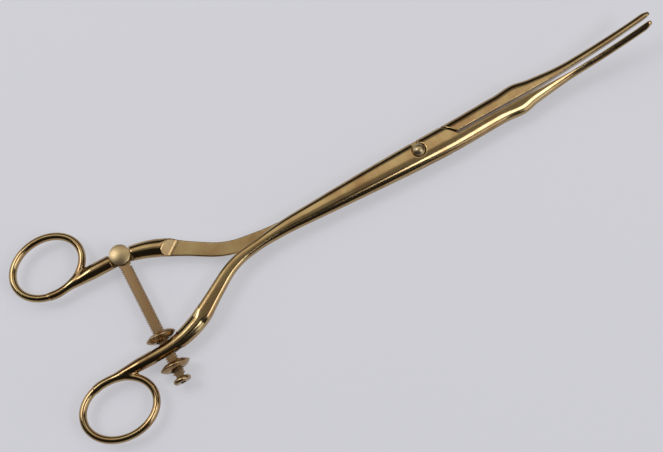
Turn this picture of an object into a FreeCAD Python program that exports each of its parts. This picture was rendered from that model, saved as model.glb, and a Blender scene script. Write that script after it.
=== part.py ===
import FreeCAD, Part
import math
import os

# Uterine dilator with two lever arms that don't cross at the handles.
# The frame's origin is on the pivot, at the flat foot of the pivot stud.
# +X runs to the tips, +Y to the back arm's handle, +Z up from the foot.
# All lengths are in millimetres and all angles in degrees.

# Places along the instrument, measured from the pivot
back_tip_reach = 110.4
front_tip_reach = 109.3
blade_start_reach = 74.0
gap_start_reach = 78.0
bump_end_reach = 54.5
bump_reach = 47.0
bump_start_reach = 38.0
shoulder_inner_reach = 18.0
shoulder_outer_reach = 13.0
waist_reach = 66.4

# Steps from one place to the next along the handles
waist_to_elbow = 22.3
elbow_to_step = 21.9
step_to_swell = 1.4
elbow_to_bend = 29.3
elbow_to_screw = 38.6
elbow_to_slot = 39.5
elbow_to_crotch = 51.3
crotch_to_bow = 15.2

# Plan of the two arms
axis_offset = -1.15
handle_spread = 21.3
elbow_offset = 3.1
handle_bend_radius = 48.0
elbow_radius = 14.0
waist_radius = 130.0
screw_offset = 0.65

# Widths of one arm, or of the closed pair from the waist to the tips
back_neck_width = 6.1
front_neck_width = 5.4
bar_seat_width = 6.1
swell_width = 7.5
diagonal_width = 6.1
back_elbow_width = 5.8
front_elbow_width = 4.6
waist_width = 6.0
pivot_width = 11.8
jaw_width = 12.2
bump_width = 13.5
bump_end_width = 10.8
blade_width = 7.4
tip_width = 7.0

# Heights, with the two arms lapped
rod_height = 6.0
swell_height = 6.6
waist_height = 6.2
pivot_height = 7.8
bump_height = 7.2
blade_height = 5.2
tip_height = 4.0

# Corners of the sections: 2 is an oval, and more is squarer
rod_squareness = 2.0
diagonal_squareness = 3.2
shank_squareness = 2.4

# Blades
jaw_gap = 1.1
bump_gap = 1.2
blade_gap = 1.9
front_shift = 0.35
jaw_lean = 0.45
blade_rise = 12.6
blade_rise_start = 36.0
blade_sweep = 1.6
blade_sweep_start = 62.0
tip_rounding = 1.9
tip_edge_height = 1.0

# Lapped faces, step and shoulder
lap_clearance = 0.06
shoulder_clearance = 0.5
step_run = 3.6
step_fillet = 3.5
step_skew = 28.0

# Finger bows, and the tail of a handle that runs into one
bow_bar_width = 2.8
bow_bar_height = 3.8
tail_angles = (108.0, 96.0, 84.0)
tail_share = 0.8
tail_stations = (0.4, 0.75)
back_bow_length = 29.8
back_bow_width = 23.2
back_bow_rise = 10.5
back_bow_tilt = 7.0
front_bow_length = 30.1
front_bow_width = 23.6
front_bow_rise = 11.6
front_bow_tilt = 3.0

# Pivot stud
stud_neck_diameter = 3.6
stud_flat_width = 2.5
stud_flat_turn = 35.0
stud_fit = 0.05
stud_foot_diameter = 5.4
stud_foot_height = 0.9
stud_head_diameter = 5.5
stud_head_rim = 1.1
stud_head_dome = 1.9
stud_head_seat_depth = 1.5
stud_head_clearance = 0.25
stud_end_clearance = 0.05
notch_clearance = 0.15

# Cross bar and its screw
bar_width = 5.0
bar_thickness = 2.2
bar_tooth_pitch = 1.0
bar_tooth_depth = 0.45
bar_eye_clearance = 0.06
thread_start = 5.5
slot_length = 11.7
slot_clearance = 0.25
screw_pin_diameter = 2.8
screw_pin_cover = 0.1
screw_head_diameter = 8.4
screw_head_rim = 0.7
screw_head_dome = 1.5
seat_clearance = 0.2

# Round nuts and the button on the end of the bar
nut_diameter = 12.6
nut_rim_width = 1.1
nut_centre_width = 3.4
nut_hub_width = 0.6
nut_belly = 0.2
nut_fit = 0.06
inner_nut_gap = 0.9
outer_nut_gap = 2.7
button_diameter = 7.4
button_width = 2.0
button_gap = 3.6
button_rounding = 0.7
tenon_diameter = 1.8
tenon_cover = 0.3

# How finely the curved forms are followed
section_points = 20
handle_spacing = 7.0
blade_spacing = 7.0
parting_spacing = 10.0
loft_degree = 3

# Places worked out from the dimensions above
elbow_reach = waist_reach + waist_to_elbow
step_reach = elbow_reach + elbow_to_step
swell_reach = step_reach + step_to_swell
bend_reach = elbow_reach + elbow_to_bend
screw_reach = elbow_reach + elbow_to_screw
slot_reach = elbow_reach + elbow_to_slot
crotch_reach = elbow_reach + elbow_to_crotch
bow_reach = crotch_reach + crotch_to_bow
lap_height = pivot_height / 2
lap_gap = lap_clearance / 2
tip_reach = max(back_tip_reach, front_tip_reach)
UP = FreeCAD.Vector(0, 0, 1)


def point(x, y, z=0.0):
    return FreeCAD.Vector(x, y, z)


def through(stations, x):
    """Value at x of a smooth line through (place, value) stations."""
    places = [place for place, value in stations]
    values = [value for place, value in stations]
    if x <= places[0]:
        return values[0]
    if x >= places[-1]:
        return values[-1]
    slopes = []
    for i in range(len(places) - 1):
        slopes.append((values[i + 1] - values[i]) / (places[i + 1] - places[i]))
    i = max(k for k in range(len(places) - 1) if places[k] <= x)

    def tangent(k):
        if k == 0 or k == len(places) - 1:
            return 0.0
        before, after = slopes[k - 1], slopes[k]
        if before * after <= 0:
            return 0.0
        return 2 * before * after / (before + after)

    span = places[i + 1] - places[i]
    t = (x - places[i]) / span
    start, end = tangent(i) * span, tangent(i + 1) * span
    return (
        values[i] * (1 + 2 * t) * (1 - t) ** 2
        + start * t * (1 - t) ** 2
        + values[i + 1] * t * t * (3 - 2 * t)
        + end * t * t * (t - 1)
    )


def arm_offset(x):
    """Distance and slope of an arm's centre line from the instrument's axis."""
    far = 10 * bow_reach
    corners = [
        (-far, handle_spread, 0.0),
        (-bend_reach, handle_spread, handle_bend_radius),
        (-elbow_reach, elbow_offset, elbow_radius),
        (-waist_reach, 0.0, waist_radius),
        (far, 0.0, 0.0),
    ]
    angles = []
    for (x0, y0, _), (x1, y1, _) in zip(corners, corners[1:]):
        angles.append(math.atan2(y1 - y0, x1 - x0))
    for i in range(1, len(corners) - 1):
        corner_x, corner_y, radius = corners[i]
        before, after = angles[i - 1], angles[i]
        reach = radius * math.tan(abs(after - before) / 2)
        start_x = corner_x - reach * math.cos(before)
        end_x = corner_x + reach * math.cos(after)
        if x < start_x:
            return corner_y + (x - corner_x) * math.tan(before), math.tan(before)
        if x <= end_x:
            hand = 1 if after > before else -1
            centre_x = start_x - hand * radius * math.sin(before)
            start_y = corner_y - reach * math.sin(before)
            centre_y = start_y + hand * radius * math.cos(before)
            along = x - centre_x
            drop = math.sqrt(radius ** 2 - along ** 2)
            return centre_y - hand * drop, hand * along / drop
    return 0.0, 0.0


def bar_width_at(x, side):
    """Width across one arm, or across the closed pair past the waist."""
    back = side > 0
    return through(
        [
            (-crotch_reach, back_neck_width if back else front_neck_width),
            (-slot_reach, bar_seat_width),
            (-swell_reach, swell_width),
            (-(elbow_reach + swell_reach) / 2, diagonal_width),
            (-(waist_reach + elbow_reach) / 2, back_elbow_width if back else front_elbow_width),
            (-waist_reach, waist_width),
            (0.0, pivot_width),
            (shoulder_outer_reach, jaw_width),
            (bump_start_reach, jaw_width),
            (bump_reach, bump_width),
            (bump_end_reach, bump_end_width),
            (blade_start_reach, blade_width),
            (tip_reach, tip_width),
        ],
        x,
    )


def bar_height_at(x):
    """Height of the lapped pair, or of a handle rod."""
    return through(
        [
            (-slot_reach, rod_height),
            (-swell_reach, swell_height),
            (-waist_reach, waist_height),
            (0.0, pivot_height),
            (bump_reach, bump_height),
            (blade_start_reach, blade_height),
            (tip_reach, tip_height),
        ],
        x,
    )


def squareness_at(x):
    """Squareness of the section: 2 is an oval."""
    return through(
        [
            (-swell_reach, rod_squareness),
            (-(elbow_reach + swell_reach) / 2, diagonal_squareness),
            (-elbow_reach, diagonal_squareness),
            (-waist_reach, shank_squareness),
            (bump_reach, shank_squareness),
            (blade_start_reach, rod_squareness),
        ],
        x,
    )


def rise_at(x):
    """Height of the blades' upward curve over the lap plane."""
    run = front_tip_reach - blade_rise_start
    return blade_rise * (max(0.0, x - blade_rise_start) / run) ** 2


def parting_at(x):
    """Place in Y of the middle of the gap between the jaws."""
    run = front_tip_reach - blade_sweep_start
    lean = through([(shoulder_outer_reach, 0.0), (bump_start_reach, jaw_lean)], x)
    return axis_offset + lean + blade_sweep * (max(0.0, x - blade_sweep_start) / run) ** 2


def centre_at(x):
    """Place in Y of the middle of the pair of jaws: the back one is a little wider."""
    shift = through(
        [
            (shoulder_outer_reach, 0.0),
            (bump_reach, front_shift),
            (blade_start_reach, front_shift),
            (tip_reach, 0.0),
        ],
        x,
    )
    return parting_at(x) + shift


def gap_at(x):
    """Gap between the two jaws."""
    return through(
        [
            (shoulder_inner_reach, jaw_gap),
            (bump_reach, bump_gap),
            (gap_start_reach, blade_gap),
        ],
        x,
    )


def power(value, exponent):
    """Power of a number that keeps its sign."""
    return math.copysign(abs(value) ** exponent, value)


def oval(centre, direction, width, height, squareness=2.0, even=True):
    """Closed oval wire around a centre, across a level direction.

    With even set, its knots are evenly spaced, and otherwise by their chords.
    """
    across = UP.cross(direction).normalize()
    points = []
    for i in range(section_points):
        angle = 2 * math.pi * (i + 0.5) / section_points
        side = across * (width / 2 * power(math.cos(angle), 2 / squareness))
        lift = UP * (height / 2 * power(math.sin(angle), 2 / squareness))
        points.append(centre + side + lift)
    turns = [i / section_points for i in range(section_points + 1)]
    curve = Part.BSplineCurve()
    if even:
        curve.interpolate(Points=points, PeriodicFlag=True, Parameters=turns)
    else:
        curve.interpolate(Points=points, PeriodicFlag=True)
    return Part.Wire(curve.toShape())


def spaced(start, end, step):
    """Places from start to end, about one step apart."""
    count = max(2, int(round(abs(end - start) / step)))
    return [start + (end - start) * i / count for i in range(count + 1)]


def slab(x0, x1, y0, y1, z0, z1):
    """Straight block between two corners."""
    return Part.makeBox(x1 - x0, y1 - y0, z1 - z0, point(x0, y0, z0))


def prism(points, bottom, top):
    """Upright block over a plan polygon."""
    corners = [point(x, y, bottom) for x, y in points]
    face = Part.Face(Part.makePolygon(corners + corners[:1]))
    return face.extrude(UP * (top - bottom))


def bow_sizes(side):
    """Length, width, offset from the axis and tilt of a finger bow."""
    if side > 0:
        return back_bow_length, back_bow_width, back_bow_rise, back_bow_tilt
    return front_bow_length, front_bow_width, front_bow_rise, front_bow_tilt


def bow_point(side, angle):
    """Point of a bow's centre line, and its direction there."""
    length, width, rise, tilt = bow_sizes(side)
    turn = math.radians(tilt)
    along = length / 2 * math.cos(angle)
    out = width / 2 * math.sin(angle)
    x = -bow_reach + along * math.cos(turn) - out * math.sin(turn)
    y = along * math.sin(turn) + out * math.cos(turn)
    step_along = -length / 2 * math.sin(angle)
    step_out = width / 2 * math.cos(angle)
    dx = step_along * math.cos(turn) - step_out * math.sin(turn)
    dy = step_along * math.sin(turn) + step_out * math.cos(turn)
    place = point(x, axis_offset + side * (handle_spread + rise + y), lap_height)
    return place, point(dx, side * dy).normalize()


def finger_bow(side):
    """Oval finger bow, a bar of oval section bent into a ring."""
    length, width, rise, tilt = bow_sizes(side)
    centre = point(-bow_reach, axis_offset + side * (handle_spread + rise), lap_height)
    spine = Part.Ellipse(point(0, 0), length / 2, width / 2).toShape()
    spine.rotate(point(0, 0), UP, side * tilt)
    spine.translate(centre)
    wire = Part.Wire(spine)
    start = spine.valueAt(spine.FirstParameter)
    direction = spine.tangentAt(spine.FirstParameter)
    section = oval(start, direction, bow_bar_width, bow_bar_height)
    return wire.makePipeShell([section], True, True)


def handle_sections(side):
    """Oval wires along an arm, from its finger bow to past the shoulder."""
    wires = []
    size = bow_bar_width * tail_share, bow_bar_height * tail_share
    for angle in tail_angles:
        place, direction = bow_point(side, -math.radians(angle))
        wires.append(oval(place, direction, *size, even=False))
    neck_width = bar_width_at(-crotch_reach, side)
    inner_edge = handle_spread - neck_width / 2
    for share in tail_stations:
        x = place.x + share * (-crotch_reach - place.x)
        width = bow_bar_width + share * (neck_width - bow_bar_width)
        height = bow_bar_height + share * (rod_height - bow_bar_height)
        y = axis_offset + side * (inner_edge + width / 2)
        wires.append(oval(point(x, y, lap_height), point(1, 0), width, height, even=False))
    for x in spaced(-crotch_reach, bump_start_reach, handle_spacing):
        offset, slope = arm_offset(x)
        centre = point(x, axis_offset + side * offset, lap_height)
        direction = point(1, side * slope)
        size = bar_width_at(x, side), bar_height_at(x), squareness_at(x)
        wires.append(oval(centre, direction, *size, even=False))
    return wires


def step_cutter(side):
    """Block that mills an arm down to half its height, from the step on."""
    offset, slope = arm_offset(-step_reach)
    start = point(-step_reach, axis_offset + side * offset, lap_height)
    turn = math.atan(slope) - math.radians(step_skew)
    depth = swell_height
    half = 2 * swell_width
    ramp = math.atan2(swell_height / 2, step_run)
    reach = step_fillet * math.tan(ramp / 2)
    before = point(step_run - reach * math.cos(ramp), 0, reach * math.sin(ramp) - lap_gap)
    after = point(step_run + reach, 0, -lap_gap)
    away = step_fillet / math.cos(ramp / 2) - step_fillet
    middle = point(
        step_run + away * math.sin(ramp / 2), 0, away * math.cos(ramp / 2) - lap_gap
    )
    top = point(before.x - (depth - before.z) / math.tan(ramp), 0, depth)
    far = point(2 * (step_reach - elbow_reach), 0, -lap_gap)
    far_top = point(far.x, 0, depth)
    edges = [
        Part.LineSegment(top, before).toShape(),
        Part.Arc(before, middle, after).toShape(),
        Part.LineSegment(after, far).toShape(),
        Part.LineSegment(far, far_top).toShape(),
        Part.LineSegment(far_top, top).toShape(),
    ]
    face = Part.Face(Part.Wire(edges))
    face.translate(point(0, -half, 0))
    block = face.extrude(point(0, 2 * half, 0))
    block.rotate(point(0, 0), UP, math.degrees(turn))
    if side < 0:
        block.rotate(point(0, 0), point(1, 0), 180)
    block.translate(start)
    low = lap_height - lap_gap if side > 0 else lap_height - pivot_height
    high = lap_height + pivot_height if side > 0 else lap_height + lap_gap
    start_x = -(elbow_reach + step_reach) / 2
    wide = handle_spread
    straight = slab(start_x, tip_reach, axis_offset - wide, axis_offset + wide, low, high)
    return block.fuse(straight)


def shoulder_plan(side, clearance):
    """Plan outline of the lapped half of an arm at its end."""
    inner = shoulder_inner_reach - clearance
    outer = shoulder_outer_reach - clearance
    half = jaw_width / 2
    far = 2 * crotch_reach
    slant = (outer - inner) / half
    wide = 2 * half
    return [
        (-far, axis_offset - side * far),
        (inner + slant * wide, axis_offset - side * wide),
        (inner, axis_offset),
        (shoulder_outer_reach, axis_offset),
        (shoulder_outer_reach, axis_offset + side * far),
        (-far, axis_offset + side * far),
    ]


def jaw_relief(side):
    """Block of the space that the other arm's lapped half takes at a jaw."""
    half = jaw_width / 2
    slant = (shoulder_outer_reach - shoulder_inner_reach) / half
    wide = 2 * half
    plan = [
        (-crotch_reach, axis_offset - side * wide),
        (shoulder_inner_reach - slant * wide, axis_offset - side * wide),
        (shoulder_inner_reach, axis_offset),
        (shoulder_inner_reach + slant * wide, axis_offset + side * wide),
        (-crotch_reach, axis_offset + side * wide),
    ]
    if side > 0:
        return prism(plan, lap_height - lap_gap, lap_height + pivot_height)
    return prism(plan, lap_height - pivot_height, lap_height + lap_gap)


def side_tip_reach(side):
    """Reach of the tip of one blade."""
    return back_tip_reach if side > 0 else front_tip_reach


def jaw_plan(side):
    """Upright block that holds one jaw: its inner face and round tip."""
    reach = side_tip_reach(side)
    places = spaced(shoulder_outer_reach, reach - tip_rounding / 2, parting_spacing)
    inner = []
    for x in places:
        inner.append(point(x, parting_at(x) + side * gap_at(x) / 2, -jaw_width))
    line = Part.BSplineCurve()
    line.interpolate(Points=inner)
    start, end = inner[0], inner[-1]
    radius = tip_rounding / 2
    nose = end + point(radius, side * radius)
    outer = end + point(0, side * tip_rounding)
    far = end + point(0, side * jaw_width)
    back = point(start.x, far.y, start.z)
    edges = [
        line.toShape(),
        Part.Arc(end, nose, outer).toShape(),
        Part.LineSegment(outer, far).toShape(),
        Part.LineSegment(far, back).toShape(),
        Part.LineSegment(back, start).toShape(),
    ]
    face = Part.Face(Part.Wire(edges))
    return face.extrude(UP * (4 * jaw_width))


def blade(side):
    """Jaw and blade of one arm, beyond the shoulder."""
    reach = side_tip_reach(side)
    nose = tip_height / 2
    edge = tip_edge_height / tip_height
    wires = []
    places = spaced(-shoulder_outer_reach, reach - nose, blade_spacing)
    places += [reach - nose / 2, reach - nose / 8, reach]
    for x in places:
        centre = point(x, centre_at(x), lap_height + rise_at(x))
        along = max(0.0, (x - reach + nose) / nose)
        height = bar_height_at(x) * math.sqrt(1 - (1 - edge ** 2) * along ** 2)
        wires.append(oval(centre, point(1, 0), bar_width_at(x, side), height, squareness_at(x)))
    body = Part.makeLoft(wires, True, False, False, loft_degree)
    return body.common(jaw_plan(side)).cut(jaw_relief(side))


def stud_hole(side):
    """Hole in an arm for the stud, with a seat for its head or its foot."""
    radius = stud_neck_diameter / 2
    if side > 0:
        hole = Part.makeCylinder(radius, pivot_height)
        foot = Part.makeCylinder(
            stud_foot_diameter / 2, 2 * stud_foot_height, point(0, 0, -stud_foot_height)
        )
        return hole.fuse(foot)
    hole = Part.makeCylinder(radius + stud_fit, 2 * pivot_height)
    seat_radius = stud_head_diameter / 2 + stud_head_clearance
    seat = Part.makeCylinder(
        seat_radius, pivot_height, point(0, 0, pivot_height - stud_head_seat_depth)
    )
    half_notch = stud_flat_width / 2 + notch_clearance
    notch = slab(-half_notch, half_notch, 0, jaw_width, lap_height, 2 * pivot_height)
    return hole.fuse(seat).fuse(notch)


def screw_place():
    """Place of the bar's screw, on the back handle."""
    offset, slope = arm_offset(-screw_reach)
    return point(-screw_reach, axis_offset + offset + screw_offset)


def slot_place():
    """Place of the middle of the slot, on the front handle's centre line."""
    offset, slope = arm_offset(-slot_reach)
    return point(-slot_reach, axis_offset - offset)


def on_bar(shape, distance):
    """Move a shape made along +Y to its distance down the bar from the screw."""
    way = slot_place() - screw_place()
    shape.rotate(point(0, 0), UP, math.degrees(math.atan2(way.y, way.x)) - 90)
    shape.translate(screw_place() + way.normalize() * distance + UP * lap_height)
    return shape


def bar_seat():
    """Flat milled in the back handle, where the bar's eye lies, and the screw's hole."""
    half = screw_head_diameter / 2 + seat_clearance
    deep = swell_width
    flat = on_bar(slab(-half, half, -deep, deep, -bar_thickness / 2, swell_height), 0)
    pin = Part.makeCylinder(screw_pin_diameter / 2, pivot_height, screw_place())
    return flat.fuse(pin)


def bar_slot():
    """Slot through the front handle, where the bar passes."""
    half = slot_length / 2
    gap = bar_thickness / 2 + slot_clearance
    deep = swell_width
    to_slot = (slot_place() - screw_place()).Length
    return on_bar(slab(-half, half, -deep, deep, -gap, gap), to_slot)


def arm_handle(side, bow):
    """Handle and shank of one arm, from its finger bow up to its shoulder."""
    body = Part.makeLoft(handle_sections(side), True, False, False, loft_degree)
    body = body.common(prism(shoulder_plan(side, shoulder_clearance), -jaw_width, 2 * jaw_width))
    body = body.cut(step_cutter(side))
    body = body.cut(bow)
    body = body.cut(stud_hole(side))
    return body.cut(bar_seat() if side > 0 else bar_slot())


def biggest(shape):
    """Largest solid of a shape."""
    return max(shape.Solids, key=lambda solid: solid.Volume)


def lathe(profile, centre, axis):
    """Solid turned from a closed half profile around an axis."""
    face = Part.Face(Part.Wire(profile))
    return face.revolve(centre, axis, 360)


def domed_disc(diameter, rim, dome):
    """Disc with a flat foot at the origin and a domed top."""
    radius = diameter / 2
    sphere = (radius ** 2 + dome ** 2) / (2 * dome)
    angle = math.asin(min(1.0, radius / sphere)) / 2
    foot, edge = point(0, 0), point(radius, 0)
    shoulder = point(radius, 0, rim)
    crown = point(0, 0, rim + dome)
    middle = point(sphere * math.sin(angle), 0, rim + dome - sphere * (1 - math.cos(angle)))
    profile = [
        Part.LineSegment(foot, edge).toShape(),
        Part.LineSegment(edge, shoulder).toShape(),
        Part.Arc(shoulder, middle, crown).toShape(),
        Part.LineSegment(crown, foot).toShape(),
    ]
    return lathe(profile, foot, UP)


def pivot_stud():
    """Stud with a foot under the back arm, a flattened neck and a domed head.

    The flats line up with the front arm's notch only when the arms are swung
    past their working range, so that the arms come apart for cleaning.
    """
    top = pivot_height - stud_head_seat_depth + stud_end_clearance
    root_top = lap_height - lap_gap
    radius = stud_neck_diameter / 2
    half_flat = stud_flat_width / 2
    neck = Part.makeCylinder(radius, top)
    neck = neck.common(slab(-half_flat, half_flat, -radius, radius, root_top, top))
    neck.rotate(point(0, 0), UP, -stud_flat_turn)
    root = Part.makeCylinder(radius, root_top)
    foot = Part.makeCylinder(stud_foot_diameter / 2, stud_foot_height)
    head = domed_disc(stud_head_diameter, stud_head_rim, stud_head_dome)
    head.translate(UP * top)
    return neck.fuse(root).fuse(foot).fuse(head).removeSplitter()


def bar_screw():
    """Screw with a wide shallow domed head that holds the bar's eye."""
    bottom = lap_height - rod_height / 2 + screw_pin_cover
    seat = lap_height + bar_thickness / 2 + bar_eye_clearance
    head = domed_disc(screw_head_diameter, screw_head_rim, screw_head_dome)
    head.translate(screw_place() + UP * seat)
    start = screw_place() + UP * bottom
    pin = Part.makeCylinder(screw_pin_diameter / 2, seat + screw_head_rim - bottom, start)
    return head.fuse(pin).removeSplitter()


def nut_places():
    """Distances from the bar's screw to both nuts' middles and to the button."""
    to_slot = (slot_place() - screw_place()).Length
    half = (bar_seat_width + nut_centre_width) / 2
    inner = to_slot - half - inner_nut_gap
    outer = to_slot + half + outer_nut_gap
    button = outer + nut_centre_width / 2 + button_gap
    return inner, outer, button


def cross_bar():
    """Flat bar with screw-cut edges, an eye at one end and a tenon at the other."""
    inner, outer, length = nut_places()
    radius = bar_width / 2
    root = radius - bar_tooth_depth
    tenon = tenon_diameter / 2
    end = length + button_width - tenon_cover
    profile = [point(0, 0), point(radius, 0), point(radius, thread_start)]
    for i in range(int((length - thread_start) / bar_tooth_pitch)):
        y = thread_start + i * bar_tooth_pitch
        profile.append(point(root, y + bar_tooth_pitch / 2))
        profile.append(point(radius, y + bar_tooth_pitch))
    profile += [point(radius, length), point(tenon, length), point(tenon, end), point(0, end)]
    face = Part.Face(Part.makePolygon(profile + profile[:1]))
    round_bar = face.revolve(point(0, 0), point(0, 1), 360)
    half = bar_thickness / 2
    flat_bar = round_bar.common(slab(-radius, radius, 0, end, -half, half))
    eye_end = Part.makeCylinder(radius, bar_thickness, UP * -half)
    eye = Part.makeCylinder(
        screw_pin_diameter / 2 + bar_eye_clearance, 2 * bar_thickness, UP * -bar_thickness
    )
    return on_bar(flat_bar.fuse(eye_end).removeSplitter().cut(eye), 0)


def round_nut(distance):
    """Lens-shaped round nut on the bar, at a distance from the bar's screw."""
    bore = bar_width / 2 + nut_fit
    hub = bore + nut_hub_width
    rim = nut_rim_width / 2
    edge = nut_diameter / 2 - rim
    half = nut_centre_width / 2
    belly = point((hub + edge) / 2, half - nut_belly * (half - rim))
    low_belly = point(belly.x, -belly.y)
    nose = point(nut_diameter / 2, 0)
    profile = [
        Part.LineSegment(point(bore, -half), point(hub, -half)).toShape(),
        Part.Arc(point(hub, -half), low_belly, point(edge, -rim)).toShape(),
        Part.Arc(point(edge, -rim), nose, point(edge, rim)).toShape(),
        Part.Arc(point(edge, rim), belly, point(hub, half)).toShape(),
        Part.LineSegment(point(hub, half), point(bore, half)).toShape(),
        Part.LineSegment(point(bore, half), point(bore, -half)).toShape(),
    ]
    return on_bar(lathe(profile, point(0, 0), point(0, 1)), distance)


def end_button(distance):
    """Round button riveted on the tenon of the bar."""
    radius = button_diameter / 2
    bore = tenon_diameter / 2
    flat = radius - button_rounding
    nose = point(radius, button_width / 2)
    profile = [
        Part.LineSegment(point(bore, 0), point(flat, 0)).toShape(),
        Part.Arc(point(flat, 0), nose, point(flat, button_width)).toShape(),
        Part.LineSegment(point(flat, button_width), point(bore, button_width)).toShape(),
        Part.LineSegment(point(bore, button_width), point(bore, 0)).toShape(),
    ]
    return on_bar(lathe(profile, point(0, 0), point(0, 1)), distance)


def main():
    os.makedirs("parts", exist_ok=True)
    inner, outer, button = nut_places()
    back_bow = finger_bow(1)
    front_bow = finger_bow(-1)
    nodes = {
        "back_bow": back_bow,
        "back_handle": biggest(arm_handle(1, back_bow)),
        "back_blade": biggest(blade(1)),
        "front_bow": front_bow,
        "front_handle": biggest(arm_handle(-1, front_bow)),
        "front_blade": biggest(blade(-1)),
        "pivot_stud": pivot_stud(),
        "bar_screw": bar_screw(),
        "cross_bar": cross_bar(),
        "inner_nut": round_nut(inner),
        "outer_nut": round_nut(outer),
        "end_button": end_button(button),
    }
    for name, shape in nodes.items():
        print(name, len(shape.Solids), shape.isValid(), round(shape.Volume, 1))
        shape.exportStep("parts/" + name + ".step")


main()
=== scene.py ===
"""Uterine dilator: the finished look of the lever instrument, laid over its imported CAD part."""

import math

import bmesh
import bpy
import numpy as np
from bpy.props import FloatProperty, FloatVectorProperty, IntProperty, PointerProperty
from mathutils import Matrix, Vector


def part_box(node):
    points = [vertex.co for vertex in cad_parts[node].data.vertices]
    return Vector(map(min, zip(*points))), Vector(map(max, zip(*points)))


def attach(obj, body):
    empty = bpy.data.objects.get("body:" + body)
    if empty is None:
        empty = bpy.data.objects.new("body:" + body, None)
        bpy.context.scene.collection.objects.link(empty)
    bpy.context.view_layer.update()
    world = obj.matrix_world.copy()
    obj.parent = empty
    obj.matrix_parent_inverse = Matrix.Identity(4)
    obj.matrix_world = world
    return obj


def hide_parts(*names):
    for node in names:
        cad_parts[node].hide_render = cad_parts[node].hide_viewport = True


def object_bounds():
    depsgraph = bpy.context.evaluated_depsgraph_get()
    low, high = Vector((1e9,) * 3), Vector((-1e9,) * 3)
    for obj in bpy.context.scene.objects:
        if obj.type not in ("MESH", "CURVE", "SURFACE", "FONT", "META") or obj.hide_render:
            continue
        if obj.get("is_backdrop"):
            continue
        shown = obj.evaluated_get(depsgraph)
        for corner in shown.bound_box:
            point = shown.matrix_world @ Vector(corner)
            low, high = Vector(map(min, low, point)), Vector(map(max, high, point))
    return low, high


bl_info = {
    "name": "Uterine dilator",
    "version": (1, 0, 0),
    "blender": (4, 5, 0),
    "location": "View3D > Sidebar > Dilator",
    "description": "Builds the forged arms, cross bar, nuts, studs and stage of a lever dilator",
    "category": "Object",
}

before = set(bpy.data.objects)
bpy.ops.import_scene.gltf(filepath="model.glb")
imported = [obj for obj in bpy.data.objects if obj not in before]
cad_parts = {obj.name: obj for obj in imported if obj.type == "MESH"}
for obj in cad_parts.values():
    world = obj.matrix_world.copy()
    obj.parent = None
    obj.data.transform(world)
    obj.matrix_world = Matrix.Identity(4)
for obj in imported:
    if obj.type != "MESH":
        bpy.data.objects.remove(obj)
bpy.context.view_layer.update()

MM = 0.001

# Places along the instrument, in millimetres from the pivot, as on the solids
TIP_REACH = {1: 110.4, -1: 109.3}
BLADE_START, GAP_START = 74.0, 78.0
BUMP_END, BUMP, BUMP_START = 54.5, 47.0, 38.0
SHOULDER_INNER, SHOULDER_OUTER = 18.0, 13.0
WAIST, ELBOW, STEP, SWELL, BEND = 66.4, 88.7, 110.6, 112.0, 118.0
SCREW, SLOT, CROTCH, BOW = 127.3, 128.2, 140.0, 155.2

# Plan of the two arms
AXIS_OFFSET, HANDLE_SPREAD, ELBOW_OFFSET, SCREW_OFFSET = -1.15, 21.3, 3.1, 0.65
BEND_RADIUS, ELBOW_RADIUS, WAIST_RADIUS = 48.0, 35.0, 130.0

# Widths and heights of the bars
NECK_WIDTH = {1: 6.1, -1: 5.4}
ELBOW_WIDTH = {1: 5.8, -1: 4.6}
SEAT_WIDTH, SWELL_WIDTH, DIAGONAL_WIDTH, WAIST_WIDTH = 6.1, 7.5, 6.1, 6.0
PIVOT_WIDTH, JAW_WIDTH, BUMP_WIDTH, BUMP_END_WIDTH = 11.8, 12.2, 13.5, 10.8
BLADE_WIDTH, TIP_WIDTH = 7.4, 7.0
ROD_HEIGHT, SWELL_HEIGHT, WAIST_HEIGHT, PIVOT_HEIGHT = 6.0, 6.6, 6.2, 7.8
BUMP_HEIGHT, BLADE_HEIGHT, TIP_HEIGHT, TIP_EDGE = 7.2, 5.2, 4.0, 1.0
LAP_HEIGHT, LAP_GAP = 3.9, 0.03
ROUND, SQUARE, SHANK_SQUARE, SWELL_EDGE = 2.0, 3.4, 2.4, 4.0

# Jaws and blades
JAW_GAP, BUMP_GAP, BLADE_GAP, FRONT_SHIFT, JAW_LEAN = 1.1, 1.2, 1.9, 0.35, 0.45
BLADE_RISE, RISE_START, BLADE_SWEEP, SWEEP_START = 12.6, 36.0, 1.6, 62.0
TIP_ROUNDING = 1.9

# Step between rod and lap, and the shoulder at the jaws
SHOULDER_CLEARANCE, STEP_RUN, STEP_FILLET, STEP_SKEW = 0.5, 3.6, 3.5, 28.0

# Finger bows: length, width, distance out from the handle, and tilt
BOWS = {1: (29.8, 23.2, 10.5, 7.0), -1: (30.1, 23.6, 11.6, 3.0)}
BOW_BAR = (3.1, 3.8)
TAIL_ANGLES, TAIL_SHARE, TAIL_STATIONS = (112.0, 100.0, 88.0), 0.9, (0.35, 0.7, 1.0)

# Pivot stud
NECK_RADIUS, STUD_FIT = 1.8, 0.05
FOOT_RADIUS, FOOT_HEIGHT = 2.7, 0.9
HEAD_RADIUS, HEAD_RIM, HEAD_DOME, HEAD_SEAT, HEAD_PLAY = 2.75, 1.1, 1.9, 1.5, 0.25
HEAD_LIFT, NOTCH_HALF = 0.05, 1.4
FOOT_ROUNDING, HEAD_ROUNDING = 0.25, (0.2, 0.3)

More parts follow.
